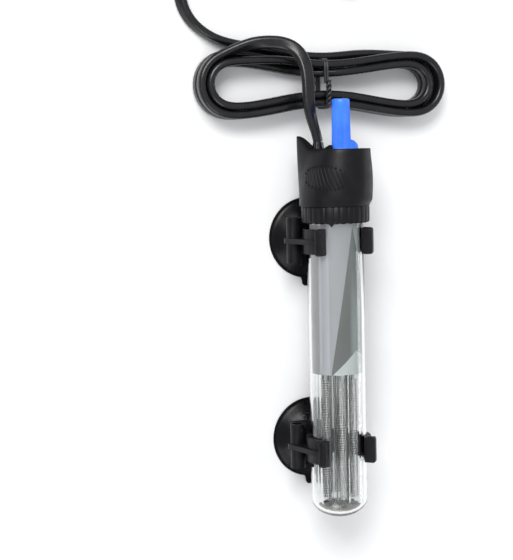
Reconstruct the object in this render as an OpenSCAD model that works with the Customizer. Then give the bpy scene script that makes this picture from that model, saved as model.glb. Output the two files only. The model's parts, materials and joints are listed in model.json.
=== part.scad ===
// Submersible aquarium heater, lying on its two suction cups.
// Millimetres. +Z is up, away from the surface that the cups stick to.
// The glass tip points to +X and the head with its knob to -X.
// The origin is on that surface, under the middle of the heater's length.

/* [Glass tube] */
// Outside diameter of the glass tube
tube_d = 25; // [24.6:0.1:25.2]
// Wall thickness of the glass
glass_wall = 1.2; // [1:0.1:1.3]
// Height of the domed tip
dome_h = 8.4; // [8:0.1:9]
// Distance from the tip to the tube's open end
glass_len = 142; // [141.5:0.1:142]
// Distance from the tip to the lower edge of the foil label
label_start = 65.2; // [62:0.1:68]

/* [Head] */
// Distance from the tip to the lower edge of the collar ring
collar_start = 131.2; // [131:0.1:131.4]
// Outside radius of the collar ring
collar_r = 15; // [14.6:0.1:15.2]
// Number of grip ribs around the collar ring
collar_ribs = 28; // [20:1:36]
// Distance from the tip to the lower edge of the head
head_start = 138.6; // [138:0.1:139]
// Distance from the tip to the rim around the dial
rim_level = 163.4; // [162:0.1:165]
// Height of the raised back edge above that rim
peak_rise = 5.9; // [4:0.1:7]
// Angle from straight up to the direction that the head's dial side faces
head_turn = 52; // [40:1:60]

/* [Knob] */
// Length from the tip to the top of the knob, which is the heater's length
total_len = 185; // [184:0.5:186]
// Knob radius at its foot
knob_r1 = 4.25; // [4:0.05:4.5]
// Knob radius at its top
knob_r2 = 3.85; // [3.6:0.05:4]
// Radius of the pointer's tip from the knob axis
pointer_r = 7.5; // [6.5:0.1:8]
// Thickness of the pointer
pointer_t = 1.7; // [1.2:0.1:2]
// Distance from the tube axis to the knob axis, towards the dial side
knob_offset = 3.5; // [3.3:0.1:3.7]

/* [Clips and suction cups] */
// Distance from the tip to the middle of the lower clip
lower_clip_at = 31; // [29:0.5:33]
// Distance from the tip to the middle of the upper clip
upper_clip_at = 123.4; // [122:0.1:124]
// Height of the tube axis above the surface that the cups stick to
axis_height = 27; // [26.5:0.1:28]
// Sideways distance from the cups' axis to the tube axis
axis_shift = 3; // [2.8:0.1:3.2]
// Radius of a suction cup
cup_r = 18.5; // [18:0.1:18.5]
// Bore radius of the clip's guide tube
guide_bore_r = 2.35; // [2:0.05:2.5]
// Length of the clip's guide tube
guide_len = 20; // [18:0.5:20]

/* [Heating elements] */
// Number of quartz sheaths
sheaths = 6; // [6:1:6]
// Outside radius of a sheath
sheath_r = 3.1; // [2.8:0.05:3.1]
// Distance from the tube axis to a sheath axis
sheath_circle = 7; // [6.8:0.1:7.2]
// Height of the wound part of a heating coil
coil_len = 53; // [45:1:53]

/* [Cord] */
// Width of the flat cord
cord_w = 5.8; // [5.6:0.1:6]
// Thickness of the flat cord
cord_t = 3.6; // [3.4:0.1:3.8]
// Distance between the centres of the plug's two pins at their tips
pin_gap = 18; // [17.5:0.1:18.6]

/* [Hidden] */
$fn = 64;

tube_r = tube_d / 2;
bore_r = tube_r - glass_wall;
fit = 0.05;
label_end = 134;
label_r = bore_r - 0.15;
bung_r = bore_r - 0.05;
flange_top = glass_len + 2.4;
spigot_r = 13.9;
spigot_start = 134.2;
head_r = 15.5;
rim_r = 12.7;
peak_r = 2.5;
peak_back = 14.3;
dial_r = 11.6;
dial_depth = 1;
dial_t = 0.5;
dial_sweep = 225;
cable_back = 7;
gland_start = 150;
gland_end = 166.5;
chamber_top = 150;
spindle_r = 1.9;
thread_r = 1.5;
thread_start = 120.4;
thread_end = 131;
oring_at = 154;
oring_wire_r = 0.6;
knob_start = rim_level - 0.4;
frame_bottom = 80;
blade_w = 5;
blade_foot = frame_bottom + 2.3;
arm_foot = 91.5;
roll_r = 0.6;
contact_level = 108;
sheath_start = 5.2;
sheath_end = 74;
sheath_bore_r = sheath_r - 0.6;
crimp_top = 66;
feed_r = 0.5;
// Where each feed wire ends across the thermostat's frame.
feed_y = [-2.2, 0, 2.2, 3.3, -1.1, -3.3];
coil_r = 1.8;
coil_start = 9;
element_turn = -7;
band_r = tube_r + fit;
band_out_r = 14.4;
band_h = 10.8;
lip_h = 11.3;
lip_w = 3.3;
lip_out_r = 16.9;
lip_angle = 47.5;
rib_h = 2.2;
rib_out_r = 16.2;
guide_r = 3.3;
guide_at = [-10.5, -15.5];
plate_back = 17;
plate_t = 3.4;
plate_w = 24.5;
neck_r = 2.95;
button_r = 4.1;
cup_top = plate_back + 0.2;

// Cord route from the gland to where it joins the hank, hand-placed.
cord_route = [[-74, -2.5, 22.7], [-78, -3.5, 22.8], [-83, -5.3, 22.9], [-89, -6.5, 22.9], [-96, -6.6, 22.7],
    [-104, -6.4, 21.8], [-111, -7.7, 20], [-115.8, -11, 18], [-117.6, -16.4, 16.2], [-117.9, -22.4, 14.6],
    [-117.6, -28.6, 12.9], [-115.6, -34.8, 11]];
// Route of the lead from the hank round to the plug, hand-placed.
lead_route = [[-117.6, -32, 3.5], [-119, -39.5, 3.3], [-122, -46.6, 3.1], [-127.4, -53.2, 2.8],
    [-134.5, -57.2, 2.4], [-143, -58, 2.2], [-151, -55, 2.6], [-157, -48.5, 3.6],
    [-160.4, -40, 5], [-161, -31, 6.4]];
hank_x = -100;
hank_y = [-38, 51];
hank_r = 15.5;
hank_waist = 10.5;
hank_top = 12.3;
hank_bottom = 0.6;
tie_y = 6.5;
plug_x = -161;
boot_y = [-31, -10];
body_len = 34;
plug_t = 13.7;
plug_w = 35.3;
pin_r = 2;
pin_len = 19;
plug_z = plug_t / 2;

// ---------- placing ----------

// The heater stands on its tip at [0, 0, 0] in its own frame. This lays it down.
module lay_down() {
    translate([total_len / 2, axis_shift, axis_height]) rotate([0, -90, 0]) children();
}

// In the head's frame +X points to the dial side.
module head_frame() {
    lay_down() rotate([0, 0, head_turn]) children();
}

// A clip's frame has its middle on the tube axis, with +X through the clip's opening.
module clip_frame(at) {
    lay_down() translate([0, 0, at]) children();
}

// A cup's frame has +Z along the neck, from the wall face towards the glass.
module cup_frame(at) {
    translate([total_len / 2 - at, 0, 0]) children();
}

module disc(r, z1, z2) {
    translate([0, 0, z1]) cylinder(r = r, h = z2 - z1);
}

module ring(r_out, r_in, z1, z2) {
    difference() {
        disc(r_out, z1, z2);
        disc(r_in, z1 - 1, z2 + 1);
    }
}

// A round rod between two points.
module rod(p, q, r) {
    d = q - p;
    translate(p) rotate([0, acos(d.z / norm(d)), atan2(d.y, d.x)])
        cylinder(r = r, h = norm(d), $fn = 24);
}

module box(p, q) {
    translate(p) cube(q - p);
}

// ---------- glass, label and seals ----------

function dome(r, h, z, steps = 12) =
    [for (i = [0 : steps]) let (a = 90 * i / steps) [r * sin(a), z - h * cos(a)]];

function reversed(list) = [for (i = [len(list) - 1 : -1 : 0]) list[i]];

module glass_tube() {
    color([0.86, 0.92, 0.9, 0.4]) lay_down() rotate_extrude(angle = 360)
        polygon(concat(dome(tube_r, dome_h, dome_h), [[tube_r, glass_len], [bore_r, glass_len]],
            reversed(dome(bore_r, dome_h - glass_wall, dome_h))));
}

module label_sleeve() {
    seam = 0.6;
    color("silver") lay_down() difference() {
        ring(label_r, label_r - 0.2, label_start, label_end);
        rotate([0, 0, 205]) box([label_r - 1, -seam / 2, label_start - 1],
            [label_r + 1, seam / 2, label_end + 1]);
    }
}

module collar_ring() {
    groove_r = 0.5;
    color([0.08, 0.08, 0.09]) lay_down() difference() {
        union() {
            disc(collar_r, collar_start + 1, head_start);
            translate([0, 0, collar_start]) cylinder(r1 = collar_r - 0.8, r2 = collar_r, h = 1);
        }
        disc(tube_r + 0.2, collar_start - 1, head_start + 1);
        disc(spigot_r, collar_start + 1.2, head_start + 1);
        for (i = [0 : collar_ribs - 1]) rotate([0, 0, 360 * i / collar_ribs])
            translate([collar_r + 0.2, 0, 0]) disc(groove_r, collar_start - 1, head_start + 1);
    }
}

module seal_ring() {
    color([0.2, 0.2, 0.2]) lay_down()
        ring(spigot_r, tube_r, collar_start + 1.2, spigot_start);
}

module sealing_bung() {
    core_r = 0.9;
    color([0.25, 0.25, 0.26]) head_frame() difference() {
        union() {
            disc(bung_r, label_end + 0.2, glass_len);
            disc(tube_r, glass_len, flange_top);
        }
        translate([knob_offset, 0, 0]) disc(spindle_r + fit, label_end - 1, flange_top + 1);
        for (side = [-1, 1]) translate([-cable_back, side * 1.2, 0])
            disc(core_r, label_end - 1, flange_top + 1);
    }
}

// ---------- head ----------

function peak_curve(steps = 8) =
    [for (i = [0 : steps]) let (t = i / steps)
        [-10.5 - 6.5 * t, rim_level + peak_rise * pow(t, 1.6)]];

// The outside of the head: round over the collar, drop-shaped at the dial.
module head_body() {
    peak_level = rim_level + peak_rise;
    intersection() {
        hull() {
            disc(head_r, head_start, head_start + 3, $fn = 48);
            translate([knob_offset, 0, 0]) disc(rim_r, peak_level - 1, peak_level, $fn = 48);
            translate([-peak_back, 0, 0]) disc(peak_r, peak_level - 1, peak_level, $fn = 24);
        }
        rotate([90, 0, 0]) linear_extrude(60, center = true)
            polygon(concat([[20, head_start], [20, rim_level]], peak_curve(),
                [[-20, peak_level], [-20, head_start]]));
    }
}

module flat_cord_profile(w, t) {
    translate([0, -(w - t) / 2]) circle(d = t);
    translate([0, (w - t) / 2]) circle(d = t);
    square([t, w - t], center = true);
}

// The ramp behind the knob, which the pointer stops against at each end of the scale.
module stop_ramp() {
    ramp_r = 9.5;
    ramp_rise = 1.8;
    ramp_half = 57;
    floor_level = rim_level - dial_depth - 0.5;
    translate([knob_offset, 0, 0]) rotate([0, 0, 180 - ramp_half]) rotate_extrude(angle = 2 * ramp_half)
        polygon([[5.2, floor_level], [5.2, rim_level + ramp_rise], [ramp_r, floor_level]]);
}

module head_cap() {
    recess = rim_level - dial_depth - dial_t;
    color([0.07, 0.07, 0.08]) head_frame() difference() {
        union() {
            head_body();
            ring(spigot_r, tube_r + 0.2, spigot_start, head_start);
            stop_ramp();
        }
        difference() {
            translate([knob_offset, 0, 0]) disc(dial_r, recess, rim_level + 10);
            stop_ramp();
        }
        disc(tube_r + 0.2, head_start - 1, glass_len);
        disc(tube_r, glass_len - 1, flange_top);
        disc(10, flange_top - 1, chamber_top);
        translate([knob_offset, 0, 0]) disc(spindle_r + fit, chamber_top - 1, rim_level + 5);
        translate([knob_offset, 0, 0])
            disc(spindle_r + 1.1, oring_at - oring_wire_r, oring_at + oring_wire_r);
        translate([-cable_back, 0, gland_start - 1]) linear_extrude(30)
            flat_cord_profile(cord_w + 1.4, cord_t + 1.4);
    }
}

// The cord's strain relief: it fills the head's slot, then tapers to the cord.
module cable_gland() {
    taper_start = rim_level - 0.6;
    color([0.1, 0.1, 0.1]) head_frame() translate([-cable_back, 0, 0]) {
        translate([0, 0, gland_start]) linear_extrude(taper_start - gland_start)
            flat_cord_profile(cord_w + 1.4, cord_t + 1.4);
        hull() {
            translate([0, 0, taper_start - 0.1]) linear_extrude(0.1)
                flat_cord_profile(cord_w + 1.4, cord_t + 1.4, $fn = 24);
            translate([0, 0, gland_end - 0.1]) linear_extrude(0.1)
                flat_cord_profile(cord_w + 0.2, cord_t + 0.2, $fn = 24);
        }
    }
}

module dial_plate() {
    top = rim_level - dial_depth;
    gap = 180 - dial_sweep / 2;
    color("white") head_frame() translate([knob_offset, 0, top - dial_t]) linear_extrude(dial_t)
        difference() {
            circle(r = dial_r - fit);
            circle(r = 4.9);
            polygon([[0, 0], 20 * [-cos(gap), sin(gap)], [-40, 0], 20 * [-cos(gap), -sin(gap)]]);
        }
}

module dial_bush() {
    top = rim_level - dial_depth;
    color([0.1, 0.1, 0.1]) head_frame() translate([knob_offset, 0, 0])
        ring(4.85, spindle_r + fit, top - dial_t, top + 0.4);
}

// ---------- knob and spindle ----------

function pointer_outline(h, steps = 8) = concat([[2, 0], [2, h]],
    [for (i = [0 : steps]) let (a = 90 - 90 * i / steps)
        [knob_r1 - 0.4 + (pointer_r - knob_r1 + 0.4) * cos(a), h * sin(a)]]);

module control_knob() {
    color([0.2, 0.45, 0.95]) head_frame() translate([knob_offset, 0, knob_start]) difference() {
        union() {
            cylinder(r1 = knob_r1, r2 = knob_r2, h = total_len - knob_start);
            rotate([90, 0, 0]) linear_extrude(pointer_t, center = true)
                polygon(pointer_outline(4.3));
        }
        disc(spindle_r, -1, 17);
    }
}

module knob_spindle() {
    groove = oring_wire_r;
    color([0.8, 0.7, 0.4]) head_frame() translate([knob_offset, 0, 0]) difference() {
        union() {
            disc(thread_r, thread_start, thread_end);
            disc(spindle_r, thread_end, knob_start + 17);
        }
        ring(3, spindle_r - 0.4, oring_at - groove, oring_at + groove);
        ring(3, spindle_r - 0.5, 132, 132.8);
    }
}

module spindle_oring() {
    ring_r = spindle_r - 0.4 + oring_wire_r;
    color([0.15, 0.15, 0.15]) head_frame() translate([knob_offset, 0, oring_at])
        rotate_extrude(angle = 360) translate([ring_r, 0]) circle(r = oring_wire_r, $fn = 24);
}

module spindle_clip() {
    color("lightgray") head_frame() translate([knob_offset, 0, 0]) difference() {
        ring(3.2, spindle_r - 0.5, 132.1, 132.7);
        box([0, -1, 131], [5, 1, 134]);
    }
}

// ---------- thermostat ----------

module adjuster_nut() {
    color([0.88, 0.87, 0.82]) head_frame() difference() {
        box([knob_offset - 3, -4, 121.4], [knob_offset + 3, 4, 126]);
        translate([knob_offset, 0, 0]) disc(thread_r + fit, 120, 127);
    }
}

module thermostat_frame() {
    top = label_end + 0.2;
    color([0.7, 0.72, 0.75]) head_frame() difference() {
        union() {
            box([-3, -7, frame_bottom], [-2, 7, top]);
            box([-3, -6, top - 1.2], [7, 6, top]);
            box([-3, -3.5, frame_bottom], [6.5, 3.5, frame_bottom + 1.4]);
            box([-2.5, -2, 89], [1.2, 2, 90.6]);
            for (side = [-1, 1]) box([-2.5, side * 5.2 - 0.5, 118], [5, side * 5.2 + 0.5, 129]);
        }
        translate([knob_offset, 0, 0]) disc(3.6, top - 2, top + 1);
    }
}

// The rolled end that a spring strip turns on, about a line along Y.
module rolled_end(x, z, half_w) {
    translate([x, 0, z]) rotate([90, 0, 0]) cylinder(r = roll_r, h = 2 * half_w, center = true);
}

module adjusting_arm() {
    color([0.8, 0.75, 0.6]) head_frame() {
        box([1.4, -2, arm_foot], [1.8, 2, 119.6]);
        rolled_end(1.6, arm_foot, 2);
    }
}

module fixed_contact() {
    color("silver") head_frame() translate([1.8, 0, contact_level]) rotate([0, 90, 0])
        cylinder(r = 1.4, h = 0.9);
}

module bimetal_strip() {
    color([0.75, 0.7, 0.62]) head_frame() {
        box([5, -blade_w / 2, blade_foot], [5.5, blade_w / 2, 114]);
        rolled_end(5.25, blade_foot, blade_w / 2);
    }
}

module moving_contact() {
    color("silver") head_frame() translate([4.2, 0, contact_level]) rotate([0, 90, 0])
        cylinder(r = 1.4, h = 0.8);
}

module armature_plate() {
    color([0.6, 0.6, 0.62]) head_frame() box([5.5, -2.5, 108], [6.2, 6, 112.5]);
}

module snap_magnet() {
    color([0.3, 0.3, 0.32]) head_frame() box([-2, 3, 108], [3.4, 6, 112.5]);
}

module neon_lamp() {
    color([0.95, 0.6, 0.4]) head_frame() translate([2, -6, 96]) {
        cylinder(r = 2, h = 8);
        translate([0, 0, 8]) sphere(r = 2);
    }
}

module lamp_resistor() {
    color([0.7, 0.6, 0.45]) head_frame() {
        translate([-0.9, -5.4, 86]) cylinder(r = 1.1, h = 6);
        rod([-0.9, -5.4, 92], [2, -6, 96], 0.3);
    }
}

module wire_terminals() {
    color([0.85, 0.7, 0.35]) head_frame() for (side = [-1, 1])
        box([-5.6, side * 4 - 1.3, 118], [-3, side * 4 + 1.3, 125]);
}

module cable_cores() {
    color([0.5, 0.3, 0.2]) head_frame() for (side = [-1, 1]) {
        rod([-cable_back, side * 1.2, gland_start], [-cable_back, side * 1.2, 133.6], 0.9);
        rod([-cable_back, side * 1.2, 133.6], [-4.3, side * 4, 126], 0.9);
    }
}

// ---------- heating elements ----------

function sheath_xy(i) = sheath_circle *
    [cos(element_turn - head_turn + 360 / sheaths * i), sin(element_turn - head_turn + 360 / sheaths * i)];

module at_sheath(i) {
    head_frame() translate(sheath_xy(i)) children();
}

// Each wire runs straight up out of its sheath, then across to the thermostat's frame.
module feed_wires() {
    color([0.85, 0.85, 0.8]) for (i = [0 : sheaths - 1]) {
        foot = [sheath_xy(i).x, sheath_xy(i).y, crimp_top];
        bend = foot + [0, 0, sheath_end + 1.5 - crimp_top];
        head_frame() {
            rod(foot, bend, feed_r);
            translate(bend) sphere(r = feed_r, $fn = 24);
            rod(bend, [-1.6, feed_y[i], frame_bottom - 0.5], feed_r);
        }
    }
}

module coil_crimps() {
    color([0.7, 0.68, 0.6]) for (i = [0 : sheaths - 1]) at_sheath(i)
        disc(0.9, coil_start + coil_len, crimp_top);
}

module element_disc() {
    color([0.93, 0.92, 0.88]) head_frame() difference() {
        disc(label_r - 0.35, 70.8, 73.2);
        for (i = [0 : sheaths - 1]) translate(sheath_xy(i)) disc(sheath_r, 70, 75);
        disc(2.5, 70, 75);
    }
}

module sheath(i) {
    color([0.9, 0.94, 0.93, 0.4]) at_sheath(i) rotate_extrude(angle = 360)
        polygon(concat(dome(sheath_r, sheath_r, sheath_start + sheath_r),
            [[sheath_r, sheath_end], [sheath_bore_r, sheath_end]],
            reversed(dome(sheath_bore_r, sheath_bore_r, sheath_start + sheath_r))));
}

// The winding's outer shape; its wire is wound round a hollow middle.
module coil(i) {
    color([0.6, 0.6, 0.6]) at_sheath(i) ring(coil_r, 1.2, coil_start, coil_start + coil_len);
}

module base_pad() {
    gap = 0.1;
    top = 4.9;
    deep = dome_h - glass_wall - gap;
    color([0.95, 0.94, 0.9]) lay_down() intersection() {
        rotate_extrude(angle = 360) polygon(concat(dome(bore_r - gap, deep, dome_h), [[0, dome_h]]));
        disc(tube_r, 0, top);
    }
}

// ---------- clips ----------

// Where the rib runs straight from the band out to the guide tube.
module rib_web(rim) {
    far = guide_r + 1.1;
    toward = atan2(guide_at.y, guide_at.x);
    off = acos((rim - far) / norm(guide_at));
    function spoke(a) = [cos(a), sin(a)];
    polygon([rim * spoke(toward + off), guide_at + far * spoke(toward + off),
        guide_at + far * spoke(toward - off), rim * spoke(toward - off), [0, 0]]);
    translate(guide_at) circle(r = far);
}

module opening_wedge(reach) {
    polygon([[0, 0], reach * [cos(lip_angle), sin(lip_angle)], [2 * reach, 0],
        reach * [cos(lip_angle), -sin(lip_angle)]]);
}

module clip(at) {
    color([0.09, 0.09, 0.1]) clip_frame(at) difference() {
        union() {
            linear_extrude(band_h, center = true) difference() {
                circle(r = band_out_r);
                opening_wedge(30);
            }
            linear_extrude(rib_h, center = true) difference() {
                union() {
                    circle(r = rib_out_r);
                    rib_web(rib_out_r);
                }
                opening_wedge(30);
            }
            for (side = [-1, 1]) rotate([0, 0, side * lip_angle])
                translate([(band_r + lip_out_r) / 2 + 0.1, 0, 0])
                    cube([lip_out_r - band_r - 0.2, lip_w, lip_h], center = true);
            translate(guide_at) cylinder(r = guide_r, h = guide_len, center = true);
            translate([-plate_back, guide_at.y - 1, -guide_len / 2])
                cube([plate_t / 2, plate_w, guide_len]);
            translate([-plate_back, guide_at.y - 1, -band_h / 2])
                cube([plate_t, plate_w, band_h]);
            translate([-plate_back, guide_at.y - 1, -guide_len / 2])
                cube([plate_back + guide_at.x, 2.6, guide_len]);
            translate([-plate_back, -axis_shift, 0]) rotate([0, 90, 0])
                cylinder(r = 6, h = plate_back - band_r);
        }
        cylinder(r = band_r, h = 40, center = true);
        translate(guide_at) cylinder(r = guide_bore_r, h = 40, center = true);
        translate([-plate_back - 1, -axis_shift, 0]) rotate([0, 90, 0])
            cylinder(r = neck_r + fit, h = 10);
        translate([-plate_back + 1.8, -axis_shift, 0]) rotate([0, 90, 0])
            cylinder(r = button_r + 0.2, h = 10);
    }
}

module cup(at) {
    neck_top = axis_height - plate_back + 1.9;
    button_top = axis_height - tube_r - 0.7;
    base = axis_height - cup_top;
    tab_w = 6;
    color([0.05, 0.05, 0.06]) cup_frame(at) {
        rotate_extrude(angle = 360) polygon([[0, 3.2], [5, 3], [10, 2.4], [14, 1.2], [16.6, 0],
            [cup_r, 0], [cup_r, 0.7], [16.5, 1.8], [13, 4], [9, 6.4], [6.2, 7.6], [6.2, base],
            [neck_r, base], [neck_r, neck_top], [button_r, neck_top], [button_r, button_top - 0.5],
            [button_r - 0.8, button_top], [0, button_top]]);
        linear_extrude(0.7) difference() {
            translate([0, -tab_w / 2]) square([cup_r + 3.6, tab_w]);
            circle(r = cup_r - 0.4);
        }
    }
}

// ---------- cord and plug ----------

function smooth(list, i, t) =
    let (n = len(list) - 1, a = list[max(i - 1, 0)], b = list[i], c = list[min(i + 1, n)],
        d = list[min(i + 2, n)])
    0.5 * (2 * b + (c - a) * t + (2 * a - 5 * b + 4 * c - d) * t * t
        + (3 * b - a - 3 * c + d) * t * t * t);

function unit(v) = v / norm(v);

// Rounded-flat section of the cord, as [across, through] pairs.
function flat_section(w, t, sides = 12) =
    [for (i = [0 : sides - 1]) let (a = 360 * (i + 0.5) / sides)
        [(w - t) / 2 * sign(cos(a)) + t / 2 * cos(a), t / 2 * sin(a)]];

// One closed tube along a route. roll turns the flat side at the start, and fades along it.
module flat_tube(route, roll, w, t) {
    per = 2;
    path = [for (i = [0 : len(route) - 2]) for (k = [0 : per - 1]) smooth(route, i, k / per),
        route[len(route) - 1]];
    n = len(path);
    section = flat_section(w, t);
    sides = len(section);
    points = [for (i = [0 : n - 1])
        let (ahead = unit(path[min(i + 1, n - 1)] - path[max(i - 1, 0)]),
            side0 = unit(cross([0, 0, 1], ahead)), up0 = cross(ahead, side0),
            turn = roll * max(0, 1 - i / (0.6 * n)),
            side = side0 * cos(turn) + up0 * sin(turn), up = cross(ahead, side))
        for (s = section) path[i] + s.x * side + s.y * up];
    walls = [for (i = [0 : n - 2]) for (k = [0 : sides - 1])
        [i * sides + k, (i + 1) * sides + k, (i + 1) * sides + (k + 1) % sides,
            i * sides + (k + 1) % sides]];
    start_cap = [for (k = [0 : sides - 1]) k];
    end_cap = [for (k = [sides - 1 : -1 : 0]) (n - 1) * sides + k];
    polyhedron(points, concat([start_cap], [end_cap], walls));
}

module power_cord() {
    color([0.09, 0.09, 0.1]) flat_tube(cord_route, 90 - head_turn, cord_w, cord_t);
}

function hank_half(t) = hank_r - (hank_r - hank_waist) * (1 + cos(360 * t)) / 2;

module hank_outline() {
    steps = 12;
    span = hank_y[1] - hank_y[0];
    near = [for (i = [0 : steps]) [hank_half(i / steps - 0.5), hank_y[0] + span * i / steps]];
    far = [for (p = reversed(near)) [-p.x, p.y]];
    polygon(concat(near, far));
    for (y = hank_y) translate([0, y]) circle(r = hank_r);
}

module cord_hank() {
    color([0.1, 0.1, 0.11]) translate([hank_x, 0, hank_bottom])
        linear_extrude(hank_top - hank_bottom) hank_outline();
}

module hank_tie() {
    wall = 0.6;
    w = hank_waist + 0.1;
    color([0.15, 0.15, 0.15]) difference() {
        box([hank_x - w - wall, tie_y - 2, 0], [hank_x + w + wall, tie_y + 2, hank_top + wall]);
        box([hank_x - w, tie_y - 3, hank_bottom], [hank_x + w, tie_y + 3, hank_top]);
    }
}

module plug_lead() {
    color([0.09, 0.09, 0.1]) flat_tube(lead_route, 0, cord_w, cord_t);
}

module plug_boot() {
    color([0.1, 0.1, 0.11]) translate([plug_x, boot_y[0], plug_z]) rotate([-90, 0, 0])
        cylinder(r1 = 3.6, r2 = 5.2, h = boot_y[1] - boot_y[0]);
}

module plug_body() {
    neck = 6;
    color([0.09, 0.09, 0.1]) translate([plug_x, boot_y[1], 0]) linear_extrude(plug_t)
        polygon([[-neck, 0], [neck, 0], [plug_w / 2 - 4, body_len * 0.55], [plug_w / 2, body_len],
            [-plug_w / 2, body_len], [-plug_w / 2 + 4, body_len * 0.55]]);
}

module plug_pins() {
    color([0.8, 0.8, 0.78]) for (side = [-1, 1])
        translate([plug_x + side * pin_gap / 2, boot_y[1] + body_len, plug_z])
            rotate([-90, 0, 0]) union() {
                cylinder(r = pin_r, h = pin_len - pin_r);
                translate([0, 0, pin_len - pin_r]) sphere(r = pin_r);
            }
}

glass_tube();
label_sleeve();
collar_ring();
seal_ring();
sealing_bung();
head_cap();
cable_gland();
dial_plate();
dial_bush();
control_knob();
knob_spindle();
spindle_oring();
spindle_clip();
adjuster_nut();
thermostat_frame();
adjusting_arm();
fixed_contact();
bimetal_strip();
moving_contact();
armature_plate();
snap_magnet();
neon_lamp();
lamp_resistor();
wire_terminals();
cable_cores();
feed_wires();
coil_crimps();
element_disc();
sheath(0);  // sheath_1
sheath(1);  // sheath_2
sheath(2);  // sheath_3
sheath(3);  // sheath_4
sheath(4);  // sheath_5
sheath(5);  // sheath_6
coil(0);  // coil_1
coil(1);  // coil_2
coil(2);  // coil_3
coil(3);  // coil_4
coil(4);  // coil_5
coil(5);  // coil_6
base_pad();
clip(upper_clip_at);  // upper_clip
clip(lower_clip_at);  // lower_clip
cup(upper_clip_at);  // upper_cup
cup(lower_clip_at);  // lower_cup
power_cord();
cord_hank();
hank_tie();
plug_lead();
plug_boot();
plug_body();
plug_pins();
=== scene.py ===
"""Submersible aquarium heater, lying on its suction cups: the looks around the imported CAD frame.

Shapes are made in millimetres in one of two local frames and then placed.
In the tube frame, z runs along the glass from its tip, x is away from the floor and y is the row's own y.
The head frame is the same, turned about z so that x points to the side that the dial faces.
"""
import json
import math

import bmesh
import bpy
from mathutils import Matrix, Vector


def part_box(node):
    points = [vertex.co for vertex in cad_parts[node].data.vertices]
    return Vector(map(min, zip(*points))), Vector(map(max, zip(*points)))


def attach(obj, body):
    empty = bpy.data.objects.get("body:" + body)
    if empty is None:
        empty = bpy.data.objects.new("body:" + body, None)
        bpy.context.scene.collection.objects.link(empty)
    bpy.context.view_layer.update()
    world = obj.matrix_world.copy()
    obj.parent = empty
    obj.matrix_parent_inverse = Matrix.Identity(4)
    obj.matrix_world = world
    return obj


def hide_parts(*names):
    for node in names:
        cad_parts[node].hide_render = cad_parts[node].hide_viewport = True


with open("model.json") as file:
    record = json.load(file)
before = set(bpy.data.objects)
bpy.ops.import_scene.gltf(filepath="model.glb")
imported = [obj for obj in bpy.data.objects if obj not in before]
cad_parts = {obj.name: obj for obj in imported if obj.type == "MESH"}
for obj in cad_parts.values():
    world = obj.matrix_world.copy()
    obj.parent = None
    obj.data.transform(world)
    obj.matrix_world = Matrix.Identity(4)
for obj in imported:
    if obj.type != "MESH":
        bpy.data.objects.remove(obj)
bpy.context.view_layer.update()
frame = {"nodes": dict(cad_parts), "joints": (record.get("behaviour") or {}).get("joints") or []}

MM = 0.001
NODES = frame["nodes"]

# ---------------------------------------------------------------- frames of reference

glass_lo, glass_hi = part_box("glass_tube")
TIP_X = glass_hi.x
AXIS = (glass_lo + glass_hi) / 2
KNOB_PLACE = Vector(next(j for j in frame["joints"] if j["name"] == "knob_turn")["pos_m"])
FRONT = Vector((0, KNOB_PLACE.y - AXIS.y, KNOB_PLACE.z - AXIS.z))
KNOB_OFFSET = FRONT.length / MM
FRONT.normalize()


def smoothstep(t):
    t = min(1.0, max(0.0, t))
    return t * t * (3 - 2 * t)


def placing(x_axis, y_axis):
    """Millimetres in a frame whose z runs from the glass tip along the tube, to metres in the row frame."""
    z_axis = Vector((-1, 0, 0))
    turn = Matrix((x_axis, y_axis, z_axis)).transposed().to_4x4()
    return Matrix.Translation((TIP_X, AXIS.y, AXIS.z)) @ turn @ Matrix.Scale(MM, 4)


TUBE = placing(Vector((0, 0, 1)), Vector((0, 1, 0)))
HEAD = placing(FRONT, Vector((0, FRONT.z, -FRONT.y)))
KNOB = HEAD @ Matrix.Translation((KNOB_OFFSET, 0, 0))
ROW = Matrix.Scale(MM, 4)


def height(node, low=True):
    """How far along the tube, in millimetres from the glass tip, a CAD node starts or ends."""
    lo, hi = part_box(node)
    return (TIP_X - (hi.x if low else lo.x)) / MM


# ---------------------------------------------------------------- making pieces

def link(obj):
    bpy.context.scene.collection.objects.link(obj)
    return obj


def piece(name, bm, material, body, place=ROW, replaces=(), smooth_angle=35):
    """Turns a bmesh into a placed, shaded piece that rides on a body."""
    mesh = bpy.data.meshes.new(name)
    bmesh.ops.recalc_face_normals(bm, faces=bm.faces)
    bm.to_mesh(mesh)
    bm.free()
    mesh.transform(place)
    obj = link(bpy.data.objects.new(name, mesh))
    mesh.materials.append(material)
    mesh.shade_smooth()
    if smooth_angle:
        mesh.set_sharp_from_angle(angle=math.radians(smooth_angle))
    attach(obj, body)
    if replaces:
        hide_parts(*replaces)
    return obj


def loft(bm, rings, closed=True, caps=(False, False)):
    """Faces between rings of points. A ring of one point is a pole."""
    rows = [[bm.verts.new(p) for p in ring] for ring in rings]
    for a, b in zip(rows, rows[1:]):
        n = max(len(a), len(b))
        for i in range(n if closed else n - 1):
            j = (i + 1) % n
            if len(a) == 1:
                bm.faces.new((a[0], b[i], b[j]))
            elif len(b) == 1:
                bm.faces.new((a[i], b[0], a[j]))
            else:
                bm.faces.new((a[i], b[i], b[j], a[j]))
    for row, wanted in zip((rows[0], rows[-1]), caps):
        if wanted:
            bm.faces.new(row)


def circle(radius, z, steps):
    if radius == 0:
        return [(0, 0, z)]
    return [(radius * math.cos(2 * math.pi * i / steps), radius * math.sin(2 * math.pi * i / steps), z)
            for i in range(steps)]


def lathe(profile, steps=96):
    """A surface turned about z from [radius, z] pairs, with rounded corners where the pairs say so."""
    bm = bmesh.new()
    loft(bm, [circle(r, z, steps) for r, z in profile])
    return bm


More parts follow.
